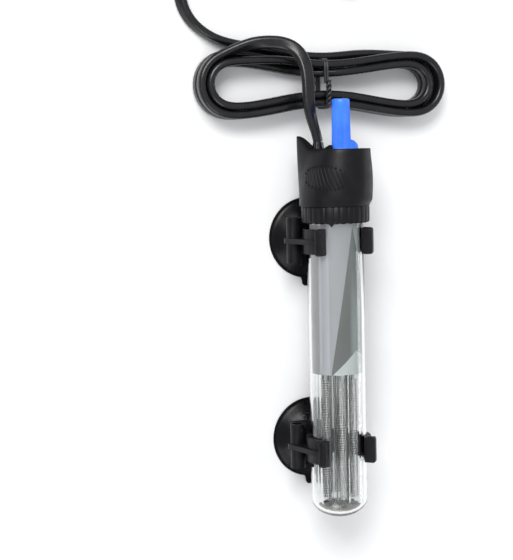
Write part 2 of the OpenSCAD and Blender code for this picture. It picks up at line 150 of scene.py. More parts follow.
def arc(cx, cz, r, start, end, steps=5):
    """Points on an arc, from one angle in degrees to another."""
    return [(cx + r * math.cos(math.radians(start + (end - start) * i / steps)),
             cz + r * math.sin(math.radians(start + (end - start) * i / steps))) for i in range(steps + 1)]


def prism(bm, outline, z0, z1):
    """A closed slab from an outline of (x, y) points."""
    loft(bm, [[(x, y, z0) for x, y in outline], [(x, y, z1) for x, y in outline]], caps=(True, True))


def soften(obj, width, segments=2, angle=30):
    """Rounds an object's sharp edges, as a mould does."""
    mod = obj.modifiers.new("edges", "BEVEL")
    mod.width = width * MM
    mod.segments = segments
    mod.limit_method = "ANGLE"
    mod.angle_limit = math.radians(angle)
    mod.harden_normals = True
    return obj


def moulded(node, material, body, width):
    """A copy of a CAD node's mesh with rounded edges, standing for that node."""
    bm = bmesh.new()
    bm.from_mesh(NODES[node].data)
    bmesh.ops.remove_doubles(bm, verts=bm.verts, dist=1e-6)
    bmesh.ops.dissolve_limit(bm, angle_limit=math.radians(1.0), verts=bm.verts, edges=bm.edges)
    obj = piece(node + "_moulded", bm, material, body, Matrix.Identity(4), (node,), 40)
    return soften(obj, width)


def swept(path, section_at):
    """A closed tube along a path: section_at(i) gives the across and up vectors and the (a, b) pairs."""
    bm = bmesh.new()
    rings = []
    for i, p in enumerate(path):
        across, up, pairs = section_at(i)
        rings.append([p + a * across + b * up for a, b in pairs])
    loft(bm, rings, caps=(True, True))
    return bm


# ---------------------------------------------------------------- materials

class Nodes:
    """A small builder for a material's node tree."""

    def __init__(self, name):
        self.mat = bpy.data.materials.new(name)
        self.mat.use_nodes = True
        self.tree = self.mat.node_tree
        self.shader = self.tree.nodes["Principled BSDF"]
        self.coords = self.tree.nodes.new("ShaderNodeTexCoord").outputs["Object"]

    def add(self, kind, **inputs):
        node = self.tree.nodes.new("ShaderNode" + kind)
        for key, value in inputs.items():
            self.put(node.inputs[key.replace("_", " ")], value)
        return node

    def put(self, socket, value):
        if isinstance(value, bpy.types.NodeSocket):
            self.tree.links.new(value, socket)
        else:
            socket.default_value = value

    def math(self, operation, a, b=0.0, c=0.0):
        node = self.tree.nodes.new("ShaderNodeMath")
        node.operation = operation
        for socket, value in zip(node.inputs, (a, b, c)):
            self.put(socket, value)
        return node.outputs[0]

    def noise(self, size_mm, detail=3.0, stretch=None, rough=0.55):
        """Noise whose largest lumps are about size_mm across, stretched by a vector if one is given."""
        coords = self.coords
        if stretch:
            mapping = self.add("Mapping", Vector=coords, Scale=stretch)
            coords = mapping.outputs[0]
        node = self.add("TexNoise", Vector=coords, Scale=1 / (size_mm * MM), Detail=detail, Roughness=rough)
        return node.outputs["Fac"]

    def span(self, value, lo, hi, out_lo=0.0, out_hi=1.0):
        node = self.tree.nodes.new("ShaderNodeMapRange")
        keys = ("Value", "From Min", "From Max", "To Min", "To Max")
        for key, v in zip(keys, (value, lo, hi, out_lo, out_hi)):
            self.put(node.inputs[key], v)
        return node.outputs[0]

    def mix(self, factor, a, b):
        node = self.tree.nodes.new("ShaderNodeMix")
        node.data_type = "RGBA"
        for socket, value in ((node.inputs[0], factor), (node.inputs[6], a), (node.inputs[7], b)):
            self.put(socket, value)
        return node.outputs[2]

    def bump(self, value, depth_mm, normal=None):
        node = self.add("Bump", Height=value, Distance=depth_mm * MM, Strength=1.0)
        if normal is not None:
            self.put(node.inputs["Normal"], normal)
        return node.outputs[0]

    def finish(self, **sockets):
        for key, value in sockets.items():
            self.put(self.shader.inputs[key.replace("_", " ")], value)
        return self.mat


def rgba(colour, factor=1.0):
    return tuple(min(1.0, c * factor) for c in colour[:3]) + (1.0,)


def plastic(name, colour, rough, grain_mm=0.18, grain_depth=0.006, patch=0.25, scuffs=0.0, **sockets):
    """Moulded plastic or rubber: patches of tone and gloss, fine grain, and a few scuffs."""
    m = Nodes(name)
    tone = m.noise(6.0)
    base = m.mix(m.span(tone, 0.35, 0.65), rgba(colour, 1 - patch), rgba(colour, 1 + patch))
    if scuffs:
        lines = m.noise(1.6, 6.0, (1.0, 7.0, 1.0), 0.7)
        mark = m.span(lines, 0.68, 0.74, 0.0, scuffs)
        base = m.mix(mark, base, rgba((0.35, 0.35, 0.36)))
    gloss = m.span(m.noise(3.5, 4.0), 0.3, 0.7, max(0.02, rough - 0.06), rough + 0.08)
    grain = m.bump(m.noise(grain_mm, 2.0), grain_depth)
    return m.finish(Base_Color=base, Roughness=gloss, Normal=grain, **sockets)


def metal(name, colour, rough, stretch=(1.0, 12.0, 12.0), tarnish=0.3):
    """Rolled or turned metal with fine lines and darker patches."""
    m = Nodes(name)
    lines = m.noise(0.6, 4.0, stretch)
    patch = m.noise(4.0)
    base = m.mix(m.span(patch, 0.4, 0.7), rgba(colour), rgba(colour, 1 - tarnish))
    gloss = m.span(lines, 0.3, 0.7, rough - 0.06, rough + 0.12)
    return m.finish(Base_Color=base, Roughness=gloss, Metallic=1.0, Normal=m.bump(lines, 0.004))


def clear(name, tint, rough=0.02, ior=1.47, ripple=0.006):
    """Drawn glass: faint lengthwise ripples and a little haze."""
    m = Nodes(name)
    waves = m.noise(3.0, 2.0, (0.15, 1.0, 1.0))
    haze = m.span(m.noise(5.0, 4.0), 0.45, 0.8, rough, rough + 0.05)
    return m.finish(Base_Color=rgba(tint), Roughness=haze, IOR=ior, Transmission_Weight=1.0,
                    Normal=m.bump(waves, ripple))


BLACK = plastic("black_plastic", (0.0045, 0.0045, 0.0055), 0.40, 0.22, 0.006, scuffs=0.06,
                Specular_IOR_Level=0.20)
CLIP_BLACK = plastic("clip_plastic", (0.006, 0.0055, 0.0075), 0.38, 0.2, 0.005, Specular_IOR_Level=0.2)
CUP_BLACK = plastic("cup_rubber", (0.003, 0.003, 0.004), 0.28, 0.9, 0.004, 0.2, scuffs=0.04,
                    Specular_IOR_Level=0.14)
CORD_BLACK = plastic("cord_pvc", (0.007, 0.007, 0.008), 0.25, 0.35, 0.005, 0.25, Specular_IOR_Level=0.4)
PLUG_BLACK = plastic("plug_plastic", (0.013, 0.013, 0.014), 0.46, 0.25, 0.012)
SEAL = plastic("seal_rubber", (0.02, 0.02, 0.021), 0.6, 0.2, 0.008)
BLUE = plastic("knob_blue", (0.035, 0.19, 0.92), 0.36, 0.3, 0.004, 0.10, Subsurface_Weight=0.35,
               Subsurface_Radius=(0.4, 1.0, 2.0), Subsurface_Scale=0.0015, Coat_Weight=0.1)
DIAL_WHITE = plastic("dial_print", (0.80, 0.80, 0.80), 0.38, 0.3, 0.002, 0.04)
DIAL_INK = plastic("dial_ink", (0.012, 0.012, 0.013), 0.35, 0.3, 0.001)
NYLON = plastic("nylon", (0.74, 0.73, 0.66), 0.45, 0.3, 0.006, 0.06)
BRASS = metal("brass", (0.72, 0.53, 0.25), 0.3)
SPRING = metal("spring_steel", (0.60, 0.57, 0.52), 0.3)
PLATED = metal("plated_steel", (0.66, 0.67, 0.69), 0.26)
SILVER = metal("contact_silver", (0.84, 0.84, 0.82), 0.2, tarnish=0.15)
BIMETAL = metal("bimetal", (0.56, 0.50, 0.42), 0.34)
WIRE = plastic("heating_wire", (0.80, 0.80, 0.78), 0.35, 0.3, 0.004, 0.1, Metallic=0.35)
MAGNET = metal("magnet", (0.09, 0.09, 0.095), 0.55)
PIN_METAL = metal("plated_brass", (0.77, 0.76, 0.72), 0.2, (1.0, 8.0, 8.0), 0.12)
GLASS = clear("tube_glass", (0.97, 0.99, 0.985), 0.01, 1.47, 0.004)
QUARTZ = clear("quartz", (1.0, 1.0, 1.0), 0.01, 1.3, 0.002)
LAMP = clear("lamp_glass", (0.98, 0.85, 0.72), 0.03)
CERAMIC = plastic("ceramic", (0.82, 0.80, 0.75), 0.7, 0.3, 0.02, 0.06)
RESISTOR = plastic("resistor_body", (0.55, 0.42, 0.25), 0.45, 0.3, 0.01)
SLEEVE = plastic("sleeving", (0.80, 0.74, 0.52), 0.6, 0.25, 0.03, 0.08)
CORES = plastic("core_insulation", (0.30, 0.14, 0.06), 0.4, 0.3, 0.005)
TIE = plastic("tie", (0.02, 0.02, 0.021), 0.35, 0.3, 0.005)


def fibre():
    """White mineral wool: curled strands and small shadows between them."""
    m = Nodes("fibre_pad")
    strands = m.noise(0.5, 6.0, (1.0, 2.6, 1.3), 0.75)
    base = m.mix(m.span(strands, 0.35, 0.62), rgba((0.60, 0.57, 0.50)), rgba((0.94, 0.93, 0.89)))
    return m.finish(Base_Color=base, Roughness=0.85, Normal=m.bump(strands, 0.12))


FOIL_MID = (0.47, 0.465, 0.48)
# The lighter band's colour is a painted reflection: a soft sheen on the foil, painted in as colour.
FOIL_PAINTED_SHEEN = (0.62, 0.61, 0.645)
FOIL_STRIP = (0.30, 0.30, 0.295)
FOIL_COOL = (0.66, 0.72, 0.72)
SPIKE_DARK = (0.165, 0.175, 0.17)
SPIKE_PALE = (0.38, 0.42, 0.415)
NOTCH_TONE = (0.70, 0.74, 0.73)
LABEL_LINE = (0.06, 0.065, 0.065)
LABEL_FOOT = height("label_sleeve")
SPIKE_APEX = 129.3
SPIKE_TOP = 18.0
SPIKE_FOOT = -34.5
SPIKE_RIGHT = 93.0
NOTCH_APEX = 76.0
NOTCH_AT = 24.0
NOTCH_FAR = 114.0


def foil():
    """Silver foil, printed with a tall dark spike and a pale point at the foot; a darker band runs along one edge, and
    beside it a lighter band is a painted reflection.
    """
    m = Nodes("label_foil")
    split = m.add("SeparateXYZ", Vector=m.coords)
    x, y, z = split.outputs
    along = m.math("MULTIPLY", m.math("SUBTRACT", TIP_X, x), 1 / MM)
    turn = m.math("ARCTAN2", m.math("SUBTRACT", y, AXIS.y), m.math("SUBTRACT", z, AXIS.z))
    degrees = m.math("MULTIPLY", turn, 180 / math.pi)

    def between(value, lo, hi, soft):
        """1 where value lies between lo and hi, which may be sockets, with a soft edge."""
        rise = m.math("DIVIDE", m.math("SUBTRACT", value, lo), soft)
        fall = m.math("DIVIDE", m.math("SUBTRACT", hi, value), soft)
        both = m.math("MINIMUM", rise, fall)
        both.node.use_clamp = True
        return both

    def line(at_lo, at_hi, lo, hi):
        """The straight print edge that passes through at_lo degrees at height lo and at_hi at height hi."""
        share = m.math("DIVIDE", m.math("SUBTRACT", along, lo), hi - lo)
        return m.math("MULTIPLY_ADD", share, at_hi - at_lo, at_lo)

    left = line(SPIKE_FOOT, SPIKE_TOP, LABEL_FOOT, SPIKE_APEX)
    right = line(SPIKE_RIGHT, SPIKE_TOP, LABEL_FOOT, SPIKE_APEX)
    # Painted reflection: the lighter band from -62 to -36 degrees stands for the foil's soft sheen.
    base = m.mix(between(degrees, -62, -36, 3.0), rgba(FOIL_MID), rgba(FOIL_PAINTED_SHEEN))
    base = m.mix(between(degrees, -112, -62, 1.0), base, rgba(FOIL_STRIP))
    base = m.mix(between(degrees, m.math("ADD", left, 4.0), 150, 8.0), base, rgba(FOIL_COOL))
    inside = m.mix(between(degrees, 7, 200, 12.0), rgba(SPIKE_DARK), rgba(SPIKE_PALE))
    low = m.span(along, 88, 112)
    inside = m.mix(low, inside, rgba(SPIKE_DARK, 1.25))
    spike = m.math("MULTIPLY", between(degrees, left, right, 0.5), m.math("LESS_THAN", along, SPIKE_APEX))
    base = m.mix(spike, base, inside)
    notch_left = line(SPIKE_FOOT + 1.5, NOTCH_AT, LABEL_FOOT, NOTCH_APEX)
    notch_right = line(NOTCH_FAR, NOTCH_AT, LABEL_FOOT, NOTCH_APEX)
    under = m.math("LESS_THAN", along, NOTCH_APEX)
    notch = m.math("MULTIPLY", between(degrees, notch_left, notch_right, 0.5), under)
    base = m.mix(notch, base, rgba(NOTCH_TONE))
    for edge, half, limit in ((left, 0.9, SPIKE_APEX), (right, 0.5, SPIKE_APEX),
                              (notch_left, 0.8, NOTCH_APEX), (notch_right, 1.2, NOTCH_APEX)):
        stroke = between(degrees, m.math("SUBTRACT", edge, half), m.math("ADD", edge, half), 0.4)
        stroke = m.math("MULTIPLY", stroke, m.math("LESS_THAN", along, limit))
        base = m.mix(m.math("MULTIPLY", stroke, 0.75), base, rgba(LABEL_LINE))
    fine = m.noise(0.35, 3.0, (0.05, 1.0, 1.0))
    gloss = m.span(fine, 0.3, 0.7, 0.30, 0.40)
    return m.finish(Base_Color=base, Metallic=0.3, Roughness=gloss, Normal=m.bump(m.noise(7.0, 2.0), 0.03))


# ---------------------------------------------------------------- camera and light

CAMERA_LEAN = math.radians(22)
CAMERA_DISTANCE = 0.593
CAMERA_HEIGHT = 0.1647
CAMERA_YAW = math.radians(3.38)
CAMERA_PITCH = math.radians(5.6)
CAMERA_ROLL = math.radians(1.3)
LENS_MM = 86.8


def add_camera():
    """The camera looks down at the heater, with its length upright in the picture and the tip at the foot."""
    back = Vector((0, -math.sin(CAMERA_LEAN), math.cos(CAMERA_LEAN)))
    right = Vector((0, math.cos(CAMERA_LEAN), math.sin(CAMERA_LEAN)))
    place = Vector((TIP_X - CAMERA_HEIGHT, AXIS.y, AXIS.z)) + CAMERA_DISTANCE * back
    ahead = -back * math.cos(CAMERA_YAW) - right * math.sin(CAMERA_YAW)
    ahead = ahead * math.cos(CAMERA_PITCH) + Vector((1, 0, 0)) * math.sin(CAMERA_PITCH)
    side = ahead.cross(Vector((-1, 0, 0))).normalized()
    side = Matrix.Rotation(CAMERA_ROLL, 3, ahead) @ side
    up = side.cross(ahead)
    data = bpy.data.cameras.new("camera")
    data.lens = LENS_MM
    data.sensor_width = 36
    camera = link(bpy.data.objects.new("camera", data))
    camera.matrix_world = Matrix.Translation(place) @ Matrix((side, up, -ahead)).transposed().to_4x4()
    bpy.context.scene.camera = camera


def add_area(name, place, aim, size, power, colour=(1, 1, 1)):
    data = bpy.data.lights.new(name, "AREA")
    data.shape = "RECTANGLE"
    data.size, data.size_y = size
    data.energy = power
    data.color = colour
    light = link(bpy.data.objects.new(name, data))
    light.location = place
    light.rotation_euler = (Vector(aim) - Vector(place)).to_track_quat("-Z", "Y").to_euler()


def add_stage():
    """A pale floor, a pale sky and soft boxes."""
    bpy.ops.mesh.primitive_plane_add(size=3.0, location=(0, 0, -0.0001))
    floor = bpy.context.object
    floor.name = "floor"
    m = Nodes("floor_paper")
    tone = m.span(m.noise(40.0), 0.3, 0.7)
    white = m.mix(tone, rgba((0.86, 0.86, 0.86)), rgba((0.89, 0.89, 0.89)))
    floor.data.materials.append(m.finish(Base_Color=white,
                                         Roughness=0.65))
    add_sky()
    bpy.context.scene.view_settings.view_transform = "Standard"
    add_area("key", (-0.55, -0.35, 0.75), (-0.02, 0, 0.02), (0.5, 0.35), 7.0)
    add_area("edge", (0.05, 0.95, 0.12), (-0.02, 0, 0.02), (0.9, 0.08), 1.2)
    add_area("fill", (0.65, -0.4, 0.5), (0.02, 0, 0.02), (0.5, 0.5), 2.5)


def add_sky():
    """A sky bright overhead and darker round the horizon, so that glass and black plastic have edges."""
    world = bpy.data.worlds.new("sky")
    bpy.context.scene.world = world
    world.use_nodes = True
    nodes, links = world.node_tree.nodes, world.node_tree.links
    split = nodes.new("ShaderNodeSeparateXYZ")
    links.new(nodes.new("ShaderNodeTexCoord").outputs["Generated"], split.inputs[0])
    climb = nodes.new("ShaderNodeMapRange")
    climb.interpolation_type = "SMOOTHSTEP"
    climb.inputs["From Min"].default_value = -0.05
    climb.inputs["From Max"].default_value = 0.75
    links.new(split.outputs[2], climb.inputs["Value"])
    mix = nodes.new("ShaderNodeMix")
    mix.data_type = "RGBA"
    mix.inputs[6].default_value = (0.22, 0.23, 0.24, 1)
    mix.inputs[7].default_value = (0.97, 0.98, 1.0, 1)
    links.new(climb.outputs[0], mix.inputs[0])
    links.new(mix.outputs[2], nodes["Background"].inputs["Color"])
    nodes["Background"].inputs["Strength"].default_value = 0.78


# ---------------------------------------------------------------- cord

CORD_W = 5.8
CORD_T = 3.6
# These two routes are the CAD model's own, in metres.
CORD_ROUTE = [(-0.074, -0.0025, 0.0227), (-0.078, -0.0035, 0.0228), (-0.083, -0.0053, 0.0229),
              (-0.089, -0.0065, 0.0229), (-0.096, -0.0066, 0.0227), (-0.104, -0.0064, 0.0218),
              (-0.111, -0.0077, 0.020), (-0.1158, -0.011, 0.018), (-0.1176, -0.0164, 0.0162),
              (-0.1179, -0.0224, 0.0146), (-0.1176, -0.0286, 0.0129), (-0.1156, -0.0348, 0.011)]
LEAD_ROUTE = [(-0.1176, -0.032, 0.0035), (-0.119, -0.0395, 0.0033), (-0.122, -0.0466, 0.0031),
              (-0.1274, -0.0532, 0.0028), (-0.1345, -0.0572, 0.0024), (-0.143, -0.058, 0.0022),
              (-0.151, -0.055, 0.0026), (-0.157, -0.0485, 0.0036), (-0.1604, -0.040, 0.005),
              (-0.161, -0.031, 0.0064)]
ARC_POINTS = 12
RUN_POINTS = 16
WAIST_CUT = 5.2
LAY = 3.75
FLAT_BY = 0.026
EDGE_FROM = 0.044
EDGE_BY = 0.085
PLUG_TWIST = 0.075


def hank_box():
    lo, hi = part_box("cord_hank")
    return lo / MM, hi / MM


def hank_path():
    """Four folded loops of cord standing on its edge, worked from the CAD hank's box.

    Two loops lie on top, wound inwards, then two below, wound outwards. Each change of place happens on
    the run farthest from the head, and in an order that never lets two strands meet."""
    lo, hi = hank_box()
    middle = (lo.x + hi.x) / 2
    half = (hi.x - lo.x) / 2
    outer = half - CORD_T / 2
    inner = outer - LAY
    low_z = lo.z + CORD_W / 2
    high_z = hi.z - CORD_W / 2
    near_y, far_y = lo.y + half, hi.y - half
    # [offset, level, how far the far end falls short, how far its upper run sags inwards there,
    #  the next offset and level, and the third of the way back in which it changes to them]
    loops = [(outer, high_z, 0.4, 1.0, inner, high_z, 2), (inner, high_z, 2.6, 1.0, inner, low_z, 1),
             (inner, low_z, 2.4, 1.0, outer, low_z, 0), (outer, low_z, 2.0, 0.6, outer + LAY, low_z, 0)]
    points = []

    def waist(y):
        return WAIST_CUT * (1 + math.cos(2 * math.pi * ((y - lo.y - half) / (far_y - near_y) - 0.5))) / 2

    for r, z, short, sag, r_next, z_next, phase in loops:
        end_y = far_y - short
        tie_at = (near_y + far_y) / 2
        centre = middle + sag / 2
        end_r = r - sag / 2 - waist(end_y)

        def slack(y):
            return smoothstep((y - tie_at) / (end_y - tie_at))

        for i in range(ARC_POINTS):
            a = math.pi * (1 + i / ARC_POINTS)
            points.append(Vector((middle + r * math.cos(a), near_y + r * math.sin(a), z)))
        for i in range(RUN_POINTS):
            y = near_y + (end_y - near_y) * i / RUN_POINTS
            points.append(Vector((middle + r - waist(y), y, z)))
        for i in range(ARC_POINTS):
            a = math.pi * i / ARC_POINTS
            points.append(Vector((centre + end_r * math.cos(a), end_y + end_r * math.sin(a), z)))
        for i in range(RUN_POINTS):
            t = i / RUN_POINTS
            y = end_y + (near_y - end_y) * t
            s = smoothstep(3 * t - phase)
            x = middle - (r + (r_next - r) * s) + waist(y) + sag * slack(y)
            points.append(Vector((x, y, z + (z_next - z) * s)))
    return points


def relax(points, rounds, keep):
    """Evens out a line's kinks. The first and last few points stay."""
    points = list(points)
    for _ in range(rounds):
        moved = [(a + b * 2 + c) / 4 for a, b, c in zip(points, points[1:], points[2:])]
        points[1:-1] = [m if keep <= i + 1 < len(points) - keep else p
                        for i, (m, p) in enumerate(zip(moved, points[1:-1]))]
    return points


def along_curve(points, spacing):
    """Points every so often along a smooth curve through the given ones."""
    dense = []
    n = len(points) - 1
    for i in range(n):
        a, b, c, d = (points[max(i - 1, 0)], points[i], points[i + 1], points[min(i + 2, n)])
        for k in range(12):
            t = k / 12
            dense.append(0.5 * (2 * b + (c - a) * t + (2 * a - 5 * b + 4 * c - d) * t * t
                                + (3 * b - a - 3 * c + d) * t * t * t))
    dense.append(points[-1])
    out, walked = [dense[0]], 0.0
    for a, b in zip(dense, dense[1:]):
        walked += (b - a).length
        if walked >= spacing:
            out.append(b)
            walked = 0.0
    if (out[-1] - dense[-1]).length < spacing / 2:
        out.pop()
    return out + [dense[-1]]


def path_length(points):
    return sum((b - a).length for a, b in zip(points, points[1:]))


def cord_section():
    """The flat cord's outline: two round cores side by side under one sheath, with a shallow waist."""
    pairs = []
    steps = 20
    for i in range(steps):
        a = 2 * math.pi * (i + 0.5) / steps
        half = (CORD_W - CORD_T) / 2
        x = half * (1 if math.cos(a) > 0 else -1) + CORD_T / 2 * math.cos(a)
        y = CORD_T / 2 * math.sin(a)
        pairs.append((x * MM, y * MM))
    middle = CORD_T / 2 * 0.9 * MM
    return pairs[:5] + [(0.0, middle)] + pairs[5:15] + [(0.0, -middle)] + pairs[15:]


def make_cord():
    first = [Vector(p) for p in CORD_ROUTE]
    last = [Vector(p) for p in LEAD_ROUTE]
    hank = [p * MM for p in hank_path()]
    hank = hank[2:-3]
    line = first + hank + last
    line = relax(along_curve(line, 2.0 * MM), 6, 3)
    n = len(line)
    total = path_length(line)
    start_across = Vector((0, FRONT.z, -FRONT.y))
    first_level = (line[1] - line[0]).cross(Vector((0, 0, 1)))
    turned = 1 if start_across.dot(first_level) > 0 else -1
    pairs = cord_section()
    walked, run = [0.0], 0.0
    for a, b in zip(line, line[1:]):
        run += (b - a).length
        walked.append(run)

    def section_at(i):
        ahead = (line[min(i + 1, n - 1)] - line[max(i - 1, 0)]).normalized()
        upright = (Vector((0, 0, 1)) - ahead * ahead.z).normalized()
        level = ahead.cross(upright) * turned
        start = (start_across - ahead * ahead.dot(start_across)).normalized()
        flat = smoothstep(walked[i] / FLAT_BY)
        across = start * (1 - flat) + level * flat
        on_edge = smoothstep((walked[i] - EDGE_FROM) / (EDGE_BY - EDGE_FROM))
        late = smoothstep(1 - (total - walked[i]) / PLUG_TWIST)
        turn = math.pi / 2 * (on_edge - late)
        across = (across.normalized() * math.cos(turn) + upright * math.sin(turn)).normalized()
        up = ahead.cross(across)
        return across, up, pairs

    bm = swept(line, section_at)
    cord = piece("mains_cord", bm, CORD_BLACK, "heater", Matrix.Identity(4),
                 ("power_cord", "cord_hank", "plug_lead"), 60)
    return cord, line, total


# ---------------------------------------------------------------- plug

def make_plug():
    """A flat two-pin plug: a waisted body with finger ribs, a slotted strain relief, and sleeved pins."""
    lo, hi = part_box("plug_body")
    lo, hi = lo / MM, hi / MM
    middle_x = (lo.x + hi.x) / 2
    middle_z = (lo.z + hi.z) / 2
    half_w = (hi.x - lo.x) / 2
    length = hi.y - lo.y
    thick = (hi.z - lo.z) / 2
    bm = bmesh.new()
    rings = []
    steps = 24
    for j in range(steps + 1):
        t = j / steps
        w = 6.0 + (half_w - 6.0) * smoothstep(t * 1.35 - 0.1) - 1.1 * math.exp(-((t - 0.62) / 0.16) ** 2)
        h = 5.4 + (thick - 5.4) * smoothstep(t * 1.6)
        ribs = 0.35 * max(0.0, math.sin(t * length * 2 * math.pi / 2.6)) if 0.42 < t < 0.86 else 0.0
        end = min(1.0, (1 - t) * 14 + 0.86) * min(1.0, t * 12 + 0.8)
        ring = []
        for i in range(40):
            a = 2 * math.pi * i / 40
            c, s = math.cos(a), math.sin(a)
            x = math.copysign(abs(c) ** 0.62, c) * (w + ribs) * end
            z = math.copysign(abs(s) ** 0.5, s) * h * end
            ring.append((middle_x + x, lo.y + length * t, middle_z + z))
        rings.append(ring)
    loft(bm, rings, caps=(True, True))
    body = piece("plug_shell", bm, PLUG_BLACK, "heater", ROW, ("plug_body",), 40)
    lo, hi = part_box("plug_boot")
    lo, hi = lo / MM, hi / MM
    bm = bmesh.new()
    rings = []
    slots = 7
    run = hi.y - lo.y
    for j in range(slots * 4 + 1):
        t = j / (slots * 4)
        wide = 3.7 + 1.3 * t
        groove = 0.55 if j % 4 in (1, 2) and 1 < j < slots * 4 - 2 else 0.0
        ring = []
        for i in range(28):
            a = 2 * math.pi * i / 28
            ring.append((middle_x + (wide - groove + 0.2) * math.cos(a), lo.y + run * t,
                         middle_z + (wide - groove - 0.9 + 0.8 * t) * math.sin(a)))
        rings.append(ring)
    loft(bm, rings, caps=(True, True))
    boot = piece("plug_strain_relief", bm, CORD_BLACK, "heater", ROW, ("plug_boot",), 50)
    pins = []
    pin_lo, pin_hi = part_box("plug_pins")
    pin_lo, pin_hi = pin_lo / MM, pin_hi / MM
    reach = pin_hi.y - pin_lo.y
    gap = (pin_hi.x - pin_lo.x) - 4.0
    for k, side in enumerate((-1, 1)):
        spot = Matrix.Translation((middle_x + side * gap / 2, pin_lo.y, middle_z))
        turn = spot @ Matrix.Rotation(-math.pi / 2, 4, "X")
        tip = [(2.0, reach - 1.4)] + arc(0, reach - 2.0, 2.0, 18, 90, 6)
        bm = lathe([(0, 0.0), (1.9, 0.0), (1.9, 10.0), (2.0, 10.2)] + tip, 32)
        pins.append(piece(f"plug_pin_{k + 1}", bm, PIN_METAL, "heater", ROW @ turn,
                          ("plug_pins",) if k == 0 else ()))
        bm = lathe([(0, -0.2), (1.99, -0.2), (1.99, 9.8), (1.86, 10.0), (0, 10.0)], 32)
        pins.append(piece(f"pin_sleeve_{k + 1}", bm, PLUG_BLACK, "heater", ROW @ turn))
    return [body, boot] + pins


def make_tie():
    """A plastic-covered wire wrapped twice round the hank's waist, with its ends twisted together."""
    lo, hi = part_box("hank_tie")
    lo, hi = lo / MM, hi / MM
    mx, mz = (lo.x + hi.x) / 2, (lo.z + hi.z) / 2
    hx, hz = (hi.x - lo.x) / 2 - 0.5, (hi.z - lo.z) / 2 - 0.5
    y = (lo.y + hi.y) / 2
    points = []
    turns = 2
    per = 40
    for i in range(turns * per + 1):
        a = math.pi / 2 + 2 * math.pi * i / per
        c, s = math.cos(a), math.sin(a)
        x = mx + hx * math.copysign(abs(c) ** 0.35, c)
        z = mz + hz * math.copysign(abs(s) ** 0.35, s)
        points.append(Vector((x, y - 1.1 + 2.2 * i / (turns * per), z)))
    bm = bmesh.new()
    tube_into(bm, points, 0.62, 8)
    for phase in (0, math.pi):
        tail = []
        for i in range(25):
            t = i / 24
            a = phase + t * 5 * math.pi
            z = hi.z + 0.6 + 0.75 * math.sin(a) * (1 - 0.3 * t) + 0.5 * math.sin(t * math.pi)
            tail.append(Vector((mx - 1 + 11 * t, y + 0.75 * math.cos(a), z)))
        tube_into(bm, tail, 0.6, 8)
    return piece("twist_tie", bm, TIE, "heater", ROW, ("hank_tie",), 60)


def tube_into(bm, points, radius, sides):
    """A round tube along points, added to a mesh."""
    n = len(points)
    rings = []
    across = None
    for i, p in enumerate(points):
        ahead = (points[min(i + 1, n - 1)] - points[max(i - 1, 0)]).normalized()
        if across is None:
            across = ahead.orthogonal().normalized()
        across = (across - ahead * across.dot(ahead)).normalized()
        up = ahead.cross(across)
        rings.append([p + radius * (math.cos(2 * math.pi * k / sides) * across
                                    + math.sin(2 * math.pi * k / sides) * up) for k in range(sides)])
    loft(bm, rings, caps=(True, True))


# ---------------------------------------------------------------- glass, label and elements

DOME_H = 8.4
GLASS_WALL = 1.2


def make_glass():
    """The tube, drawn in one piece with its domed tip, and a slightly thickened foot."""
    top = height("glass_tube", low=False)
    r = (glass_hi.y - glass_lo.y) / 2 / MM
    outer, inner = [], []
    for i in range(17):
        a = math.radians(90 * i / 16)
        outer.append((r * math.sin(a), DOME_H - DOME_H * math.cos(a)))
        deep = DOME_H - GLASS_WALL - 0.3
        inner.append(((r - GLASS_WALL) * math.sin(a), DOME_H - deep * math.cos(a)))
    rim = arc(r - GLASS_WALL / 2, top - GLASS_WALL / 2, GLASS_WALL / 2, 0, 180, 6)
    profile = outer + [(r, 40), (r, 90)] + rim + [(r - GLASS_WALL, 90), (r - GLASS_WALL, 40)] + inner[::-1]
    piece("glass_envelope", lathe(profile, 128), GLASS, "heater", TUBE, ("glass_tube",), 60)


def make_sheaths():
    """Quartz tubes with round ends, and their coils wound from wire."""
    for n in range(1, sum(name.startswith("sheath_") for name in NODES) + 1):
        lo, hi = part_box(f"sheath_{n}")
        middle = (lo + hi) / 2
        place = Matrix.Translation((0, middle.y - AXIS.y, middle.z - AXIS.z)) @ TUBE
        r = (hi.y - lo.y) / 2 / MM
        wall = 0.5
        z0, z1 = height(f"sheath_{n}"), height(f"sheath_{n}", low=False)
        bore = r - wall
        dome = [math.radians(9 * i) for i in range(11)]
        outer = [(r * math.sin(a), z0 + r - r * math.cos(a)) for a in dome]
        inner = [(bore * math.sin(a), z0 + r - bore * math.cos(a)) for a in dome]
        profile = outer + [(r, z1), (bore, z1)] + inner[::-1]
        piece(f"quartz_sheath_{n}", lathe(profile, 40), QUARTZ, "heater", place,
              (f"sheath_{n}",), 60)
        c_lo, c_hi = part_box(f"coil_{n}")
        coil_r = (c_hi.y - c_lo.y) / 2 / MM - 0.22
        h0, h1 = height(f"coil_{n}"), height(f"coil_{n}", low=False)
        pitch = 1.1
        turns = (h1 - h0) / pitch
        per = 12
        total = int(turns * per)
        points = []
        for i in range(total + 1):
            t = i / total
            a = 2 * math.pi * turns * t + n
            sway = 0.12 * math.sin(t * 9 + n)
            stretch = pitch * 1.2 * math.sin(t * math.pi * 6 + 2 * n) * 0.5
            z = h0 + (h1 - h0) * t + stretch * 0.3
            points.append(Vector((coil_r * math.cos(a) + sway, coil_r * math.sin(a), z)))
        bm = bmesh.new()
        tube_into(bm, points, 0.22, 6)
        core = [Vector((0.15 * math.sin(k), 0.12 * math.cos(k * 1.3), h0 + (h1 - h0) * k / 12))
                for k in range(13)]
        tube_into(bm, core, 0.32, 8)
        piece(f"wound_wire_{n}", bm, WIRE, "heater", place, (f"coil_{n}",), 60)


